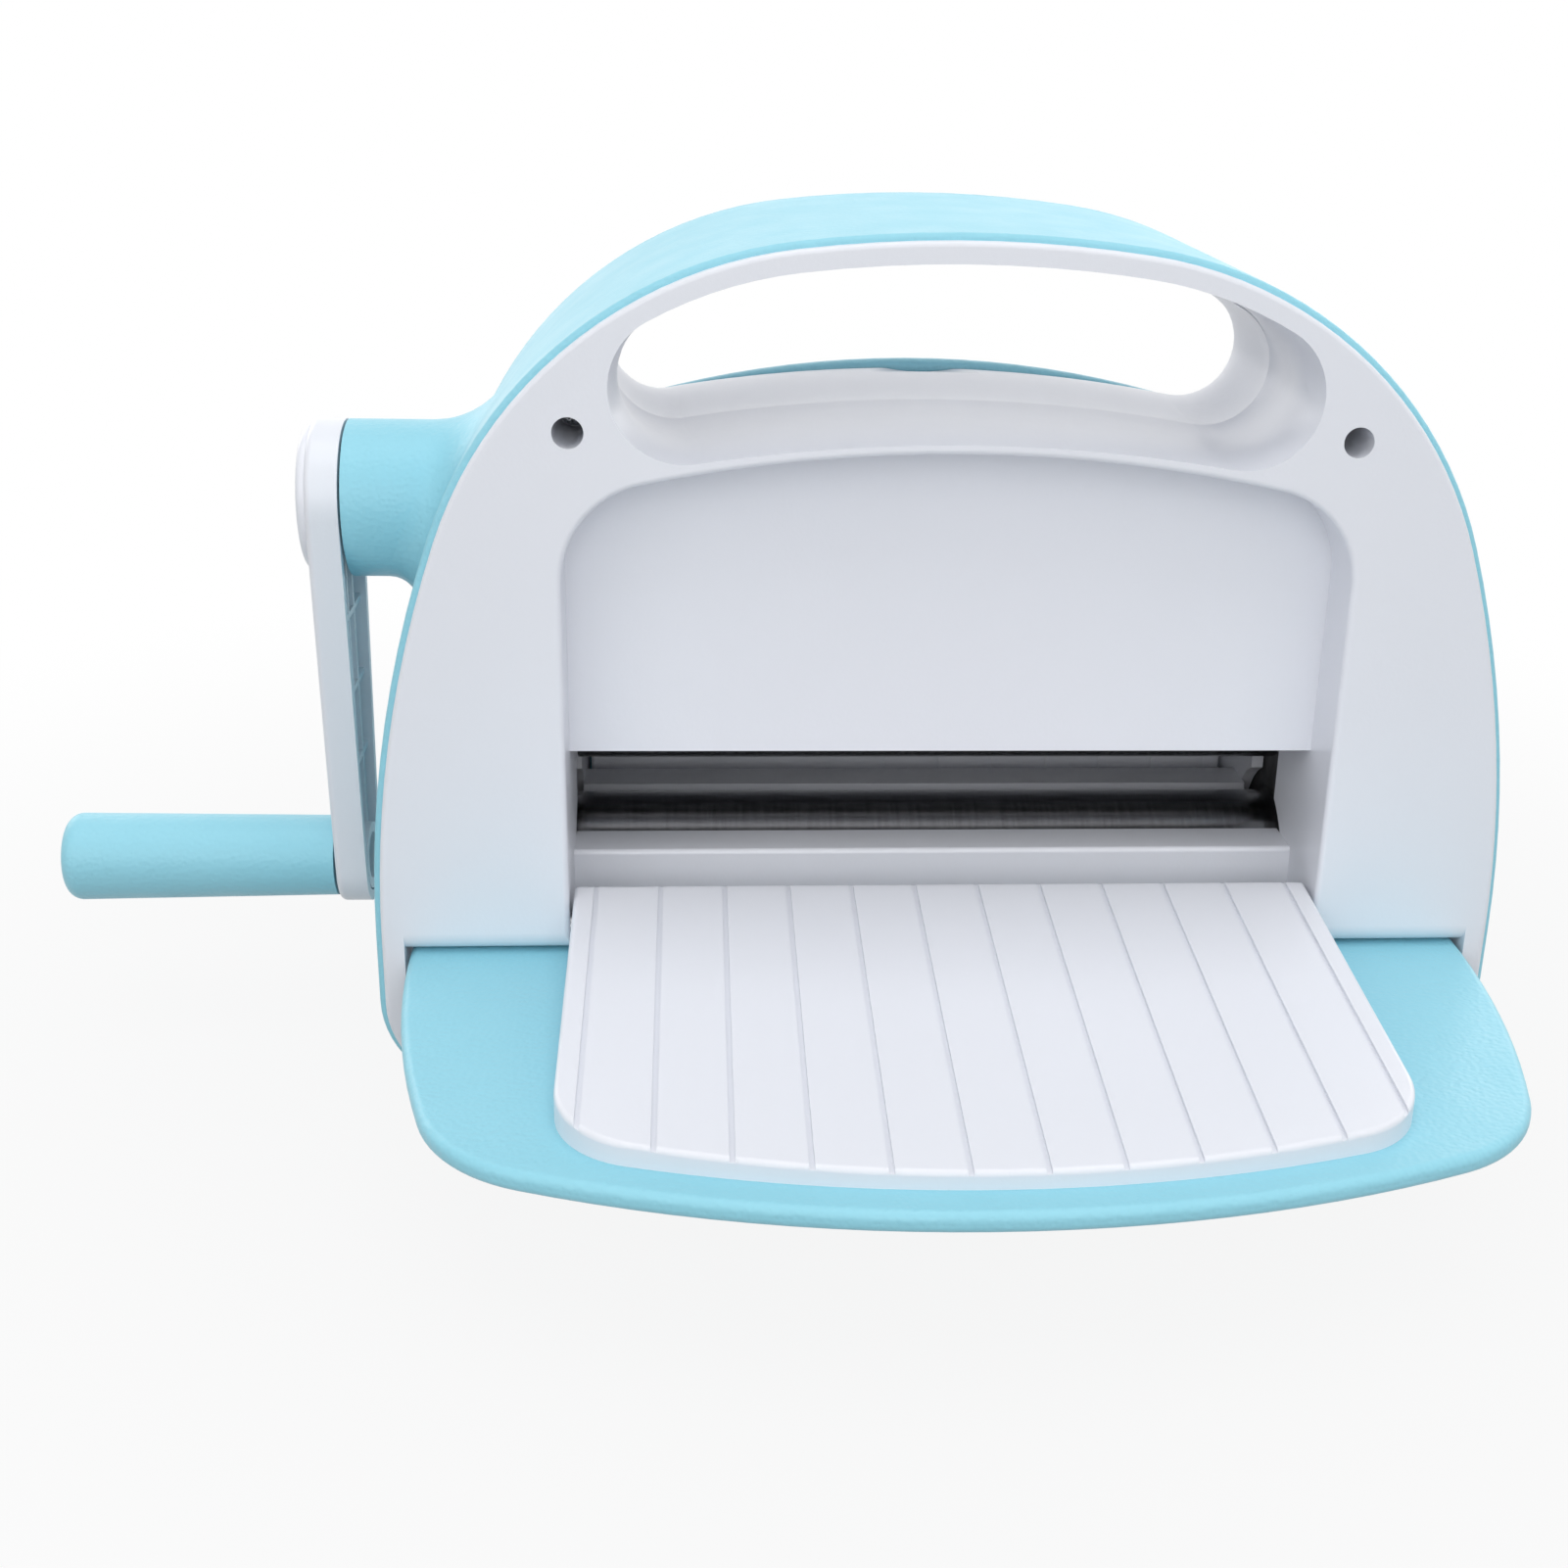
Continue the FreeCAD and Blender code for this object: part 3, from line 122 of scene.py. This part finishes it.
class Finish:
    """A material with its shader and short calls for the patterns that drive it."""

    def __init__(self, name, **constants):
        self.material = bpy.data.materials.new(name)
        self.material.use_nodes = True
        self.tree = self.material.node_tree
        self.shader = self.tree.nodes["Principled BSDF"]
        self.place = self.add("ShaderNodeTexCoord").outputs["Object"]
        for socket, value in constants.items():
            self.shader.inputs[socket].default_value = value

    def add(self, kind):
        return self.tree.nodes.new(kind)

    def link(self, source, target):
        self.tree.links.new(source, target)

    def noise(self, cells, detail, stretch=(1, 1, 1)):
        """Noise with that many cells to the metre; a stretch under 1 draws it out along that axis."""
        mapping = self.add("ShaderNodeMapping")
        mapping.inputs["Scale"].default_value = stretch
        self.link(self.place, mapping.inputs["Vector"])
        node = self.add("ShaderNodeTexNoise")
        node.inputs["Scale"].default_value = cells
        node.inputs["Detail"].default_value = detail
        self.link(mapping.outputs["Vector"], node.inputs["Vector"])
        return node.outputs["Fac"]

    def pits(self, cells):
        """Close-set round cells, as left by a spark-eroded mould, with that many to the metre."""
        node = self.add("ShaderNodeTexVoronoi")
        node.feature = "SMOOTH_F1"
        node.inputs["Scale"].default_value = cells
        self.link(self.place, node.inputs["Vector"])
        return node.outputs["Distance"]

    def colour(self, pattern, tints):
        ramp = self.add("ShaderNodeValToRGB")
        for stop, place, tint in zip(ramp.color_ramp.elements, TINT_STOPS, tints):
            stop.position = place
            stop.color = linear(tint)
        self.link(pattern, ramp.inputs["Fac"])
        self.link(ramp.outputs["Color"], self.shader.inputs["Base Color"])

    def rough(self, pattern, low, high):
        spread = self.add("ShaderNodeMapRange")
        set_range(spread, ROUGH_STOPS, (low, high))
        self.link(pattern, spread.inputs["Value"])
        self.link(spread.outputs["Result"], self.shader.inputs["Roughness"])

    def bump(self, pattern, height):
        node = self.add("ShaderNodeBump")
        node.inputs["Distance"].default_value = height
        self.link(pattern, node.inputs["Height"])
        self.link(node.outputs["Normal"], self.shader.inputs["Normal"])


def set_range(node, source, target):
    """Make a Map Range node carry one range of values over to another."""
    for name, ends in (("From", source), ("To", target)):
        for end, value in zip(("Min", "Max"), ends):
            node.inputs[name + " " + end].default_value = value


def white_plastic():
    finish = Finish("white_plastic_moulded", IOR=PLASTIC_IOR)
    finish.colour(finish.noise(cells=14, detail=4), WHITE)
    finish.rough(finish.noise(cells=300, detail=3), low=0.3, high=0.34)
    finish.bump(finish.noise(cells=1400, detail=2), height=20 * MICRON)
    return finish.material


def blue_plastic():
    finish = Finish("blue_plastic_textured", IOR=PLASTIC_IOR)
    finish.colour(finish.noise(cells=16, detail=4), BLUE)
    finish.rough(finish.noise(cells=90, detail=3), low=0.38, high=0.48)
    finish.bump(finish.pits(cells=1000), height=120 * MICRON)
    return finish.material


def turned_steel():
    finish = Finish("roller_steel_turned", Metallic=BARE_METAL)
    marks = finish.noise(cells=1500, detail=3, stretch=TURNING_MARKS)
    finish.colour(marks, STEEL)
    finish.rough(marks, low=0.2, high=0.26)
    finish.bump(marks, height=4 * MICRON)
    return finish.material


def black_coat():
    finish = Finish("frame_black_coat")
    finish.colour(finish.noise(cells=40, detail=4), BLACK)
    finish.rough(finish.noise(cells=300, detail=2), low=0.42, high=0.55)
    finish.bump(finish.noise(cells=1800, detail=2), height=40 * MICRON)
    return finish.material


def bronze():
    finish = Finish("bush_sintered_bronze", Metallic=BARE_METAL)
    finish.colour(finish.noise(cells=900, detail=3), BRONZE)
    finish.rough(finish.noise(cells=700, detail=2), low=0.35, high=0.5)
    finish.bump(finish.pits(cells=2600), height=30 * MICRON)
    return finish.material


def gear_steel():
    finish = Finish("gear_steel_cut", Metallic=BARE_METAL)
    marks = finish.noise(cells=500, detail=3, stretch=CUTTING_MARKS)
    finish.colour(marks, GEAR_STEEL)
    finish.rough(marks, low=0.28, high=0.42)
    finish.bump(marks, height=10 * MICRON)
    return finish.material


def zinc():
    finish = Finish("screw_zinc_plate", Metallic=BARE_METAL)
    finish.colour(finish.noise(cells=400, detail=3), ZINC)
    finish.rough(finish.noise(cells=1200, detail=2), low=0.2, high=0.34)
    finish.bump(finish.noise(cells=2400, detail=2), height=10 * MICRON)
    return finish.material


def rubber():
    finish = Finish("foot_rubber_matt")
    finish.colour(finish.noise(cells=60, detail=4), RUBBER)
    finish.rough(finish.noise(cells=200, detail=2), low=0.7, high=0.85)
    finish.bump(finish.noise(cells=2200, detail=3), height=60 * MICRON)
    return finish.material


def dress_cad_nodes():
    """Give every CAD node the finish of its record slot, and return the finishes by slot."""
    finishes = {
        "white_plastic": white_plastic(),
        "blue_plastic": blue_plastic(),
        "steel": turned_steel(),
        "dark_steel": black_coat(),
        "bronze": bronze(),
        "gear_steel": gear_steel(),
        SCREW_SLOT: zinc(),
        "rubber": rubber(),
    }
    for row in frame["record"]["subparts"]:
        node = frame["nodes"][row["node"]]
        node.data.materials.clear()
        node.data.materials.append(finishes[row["material_slot"]])
    return finishes


def separate_solids(node):
    """Points of each separate solid in a node."""
    mesh = bmesh.new()
    mesh.from_mesh(node.data)
    bmesh.ops.remove_doubles(mesh, verts=mesh.verts, dist=SAME_PLACE)
    left = set(mesh.verts)
    groups = []
    for first in mesh.verts:
        if first not in left:
            continue
        left.remove(first)
        queue, group = [first], []
        while queue:
            vert = queue.pop()
            group.append(vert.co.copy())
            near = {edge.other_vert(vert) for edge in vert.link_edges} & left
            left -= near
            queue += near
        groups.append(group)
    mesh.free()
    return groups


class Screw:
    """A plain screw's place and sizes, read from its points, and a mesh with a cross and a thread."""

    def __init__(self, points):
        low = Vector([min(p[i] for p in points) for i in range(3)])
        high = Vector([max(p[i] for p in points) for i in range(3)])
        middle = (low + high) / 2
        size = high - low
        axis = max(range(3), key=lambda i: size[i])
        self.head_radius = min(size) / 2

        def radius(point):
            return math.sqrt(sum((point[i] - middle[i]) ** 2 for i in range(3) if i != axis))

        rim = [p[axis] for p in points if radius(p) > self.head_radius * RIM_SHARE]
        outwards = 1 if sum(rim) / len(rim) > middle[axis] else -1
        seat, top, tip = min(rim), high[axis], low[axis]
        if outwards < 0:
            seat, top, tip = max(rim), low[axis], high[axis]
        self.head_height = abs(top - seat)
        self.length = abs(seat - tip)
        self.shank_radius = max(radius(p) for p in points if abs(p[axis] - tip) < SAME_PLACE)
        self.seat = middle.copy()
        self.seat[axis] = seat
        self.out = Vector([outwards if i == axis else 0 for i in range(3)])
        self.side = self.out.orthogonal().normalized()

    def point(self, x, y, z):
        """Point in space from two distances off the screw's axis and a height above the head's seat."""
        return self.seat + self.side * x + self.out.cross(self.side) * y + self.out * z

    def ring(self, mesh, radius_at, height):
        """Ring of points about the screw's axis; radius_at takes the share of a turn."""
        turns = [step / ROUND_STEPS for step in range(ROUND_STEPS)]
        spots = [(radius_at(turn), 2 * math.pi * turn) for turn in turns]
        return [mesh.verts.new(self.point(r * math.cos(a), r * math.sin(a), height)) for r, a in spots]

    def cross(self, mesh, scale, height):
        """Outline of the cross, three points to each arm."""
        reach = CROSS_REACH * self.head_radius * scale
        half = CROSS_HALF * self.head_radius * scale
        arm = [Vector(spot) for spot in ((reach, -half), (reach, half), (half, half))]
        turns = [Matrix.Rotation(2 * math.pi * i / CROSS_ARMS, 2) for i in range(CROSS_ARMS)]
        corners = [turn @ spot for turn in turns for spot in arm]
        return [mesh.verts.new(self.point(spot.x, spot.y, height)) for spot in corners]

    def thread_rings(self, mesh):
        """Plain neck, then a thread that runs out at a tapered tip."""
        pitch = THREAD_PITCH * self.shank_radius
        run = min(THREAD_RUN, self.length - pitch)
        rows = int(run / pitch * THREAD_ROWS)
        rings = [self.ring(mesh, lambda turn: self.shank_radius, 0.0)]
        for row in range(rows + 1):
            depth = self.length - run + run * row / rows
            tip_share = max(0, 1 - (self.length - depth) / (TIP_PITCHES * pitch))
            taper = 1 - (1 - TIP_TAPER) * tip_share

            def radius(turn):
                groove = abs(2 * ((depth / pitch + turn) % 1) - 1)
                return self.shank_radius * taper * (1 - THREAD_DEPTH * groove)

            rings.append(self.ring(mesh, radius, -depth))
        return rings

    def build(self, mesh):
        rings = [self.ring(mesh, lambda turn: share * self.head_radius, rise * self.head_height)
                 for share, rise in HEAD_PROFILE]
        rings += self.thread_rings(mesh)
        for upper, lower in zip(rings, rings[1:]):
            bridge(mesh, upper, lower)
        mesh.faces.new(rings[-1])
        mouth = self.cross(mesh, 1.0, self.head_height)
        pit = self.cross(mesh, CROSS_DRAFT, self.head_height * (1 - CROSS_DEPTH))
        bridge(mesh, mouth, pit)
        mesh.faces.new(pit)
        edges = loop_edges(mesh, rings[0]) + loop_edges(mesh, mouth)
        bmesh.ops.triangle_fill(mesh, edges=edges, use_beauty=True, normal=self.out)


def loop_edges(mesh, ring):
    """Edges round a closed ring of points."""
    return [mesh.edges.get(pair) for pair in zip(ring, ring[1:] + ring[:1])]


def bridge(mesh, upper, lower):
    """Wall of faces between two closed rings of points."""
    for i in range(len(upper)):
        mesh.faces.new((upper[i - 1], upper[i], lower[i], lower[i - 1]))


def body_of(node):
    """Name of the body that carries a node."""
    bodies = frame["record"]["behaviour"]["bodies"]
    return next(body for body, nodes in bodies.items() if node in nodes)


def detailed_screws(finish):
    """Screws with cross recesses and threads in place of the plain ones."""
    for row in frame["record"]["subparts"]:
        if row["material_slot"] != SCREW_SLOT:
            continue
        name = row["node"]
        mesh = bmesh.new()
        for points in separate_solids(frame["nodes"][name]):
            Screw(points).build(mesh)
        bmesh.ops.recalc_face_normals(mesh, faces=mesh.faces)
        data = bpy.data.meshes.new(name + "_threaded")
        mesh.to_mesh(data)
        mesh.free()
        data.materials.append(finish)
        data.shade_smooth()
        data.set_sharp_from_angle(angle=SHARP_ANGLE)
        piece = bpy.data.objects.new(name + "_threaded", data)
        bpy.context.scene.collection.objects.link(piece)
        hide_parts(name)
        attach(piece, body_of(name))


def seen_directly(tree):
    """Factor that is 1 where the view meets a surface straight, mirrored or through something clear."""
    path = tree.nodes.new("ShaderNodeLightPath")
    factor = path.outputs["Is Camera Ray"]
    for name in ("Is Glossy Ray", "Is Transmission Ray"):
        either = tree.nodes.new("ShaderNodeMath")
        either.operation = "MAXIMUM"
        tree.links.new(factor, either.inputs[0])
        tree.links.new(path.outputs[name], either.inputs[1])
        factor = either.outputs["Value"]
    return factor


def floor_material():
    """Pale floor that keeps the shadow near the object and runs out to plain white."""
    material = bpy.data.materials.new("studio_floor")
    material.use_nodes = True
    tree = material.node_tree
    tree.nodes.clear()

    def add(kind):
        return tree.nodes.new(kind)

    diffuse = add("ShaderNodeBsdfDiffuse")
    diffuse.inputs["Color"].default_value = linear(FLOOR_TINT)
    glow = add("ShaderNodeEmission")
    glow.inputs["Color"].default_value = PLAIN_WHITE
    glow.inputs["Strength"].default_value = 1.0
    place = add("ShaderNodeTexCoord")
    distance = add("ShaderNodeVectorMath")
    distance.operation = "LENGTH"
    tree.links.new(place.outputs["Object"], distance.inputs[0])
    fade = add("ShaderNodeMapRange")
    fade.interpolation_type = "SMOOTHSTEP"
    set_range(fade, WHITE_DISTANCES, (WHITE_NEAR, WHITE_FAR))
    tree.links.new(distance.outputs["Value"], fade.inputs["Value"])
    white = add("ShaderNodeMath")
    white.operation = "MULTIPLY"
    tree.links.new(fade.outputs["Result"], white.inputs[0])
    tree.links.new(seen_directly(tree), white.inputs[1])
    mix = add("ShaderNodeMixShader")
    tree.links.new(white.outputs["Value"], mix.inputs["Fac"])
    tree.links.new(diffuse.outputs["BSDF"], mix.inputs[1])
    tree.links.new(glow.outputs["Emission"], mix.inputs[2])
    output = add("ShaderNodeOutputMaterial")
    tree.links.new(mix.outputs["Shader"], output.inputs["Surface"])
    return material


def studio_floor():
    mesh = bpy.data.meshes.new("studio_floor")
    signs = ((-1, -1), (1, -1), (1, 1), (-1, 1))
    corners = [(x * FLOOR_HALF, y * FLOOR_HALF, 0) for x, y in signs]
    mesh.from_pydata(corners, [], [(0, 1, 2, 3)])
    mesh.materials.append(floor_material())
    floor = bpy.data.objects.new("studio_floor", mesh)
    bpy.context.scene.collection.objects.link(floor)


def studio_world():
    """Even pale light all round, and plain white where it is seen directly or mirrored."""
    world = bpy.data.worlds.new("studio")
    bpy.context.scene.world = world
    world.use_nodes = True
    tree = world.node_tree
    light = tree.nodes["Background"]
    light.inputs["Color"].default_value = linear(SKY_TINT)
    light.inputs["Strength"].default_value = SKY_STRENGTH
    shown = tree.nodes.new("ShaderNodeBackground")
    shown.inputs["Color"].default_value = PLAIN_WHITE
    shown.inputs["Strength"].default_value = 1.0
    mix = tree.nodes.new("ShaderNodeMixShader")
    tree.links.new(seen_directly(tree), mix.inputs["Fac"])
    tree.links.new(light.outputs["Background"], mix.inputs[1])
    tree.links.new(shown.outputs["Background"], mix.inputs[2])
    tree.links.new(mix.outputs["Shader"], tree.nodes["World Output"].inputs["Surface"])


def softbox(name, place, aim, width, power):
    """Square lamp that faces a point."""
    lamp = bpy.data.lights.new(name, "AREA")
    lamp.shape = "SQUARE"
    lamp.size = width
    lamp.energy = power
    holder = bpy.data.objects.new(name, lamp)
    holder.location = place
    holder.rotation_euler = (Vector(aim) - Vector(place)).to_track_quat("-Z", "Y").to_euler()
    bpy.context.scene.collection.objects.link(holder)


def studio_lights():
    for lamp in LAMPS:
        softbox(*lamp)


def camera_axes():
    """Right, down and forward directions of the view."""
    pitch, yaw, roll = CAMERA_PITCH, CAMERA_YAW, CAMERA_ROLL
    level = math.cos(pitch)
    forward = Vector((math.sin(yaw) * level, math.cos(yaw) * level, -math.sin(pitch)))
    right = Vector((math.cos(yaw), -math.sin(yaw), 0))
    down = forward.cross(right)
    tilted = right * math.cos(roll) + down * math.sin(roll)
    return tilted, down * math.cos(roll) - right * math.sin(roll), forward


def add_camera():
    """Camera whose shift puts its axis through the centre pixel."""
    lens = bpy.data.cameras.new("camera")
    lens.sensor_width = SENSOR_WIDTH
    lens.lens = FOCAL_PIXELS * SENSOR_WIDTH / PHOTO_SIZE
    lens.shift_x = 0.5 - CENTRE_PIXEL[0] / PHOTO_SIZE
    lens.shift_y = CENTRE_PIXEL[1] / PHOTO_SIZE - 0.5
    lens.clip_start = NEAREST_SEEN
    holder = bpy.data.objects.new("camera", lens)
    right, down, forward = camera_axes()
    axes = Matrix((right, -down, -forward)).transposed()
    holder.matrix_world = Matrix.Translation(CAMERA_PLACE) @ axes.to_4x4()
    bpy.context.scene.collection.objects.link(holder)
    bpy.context.scene.camera = holder


bpy.context.scene.view_settings.view_transform = "Standard"
finishes = dress_cad_nodes()
detailed_screws(finishes[SCREW_SLOT])
studio_floor()
studio_world()
studio_lights()
add_camera()
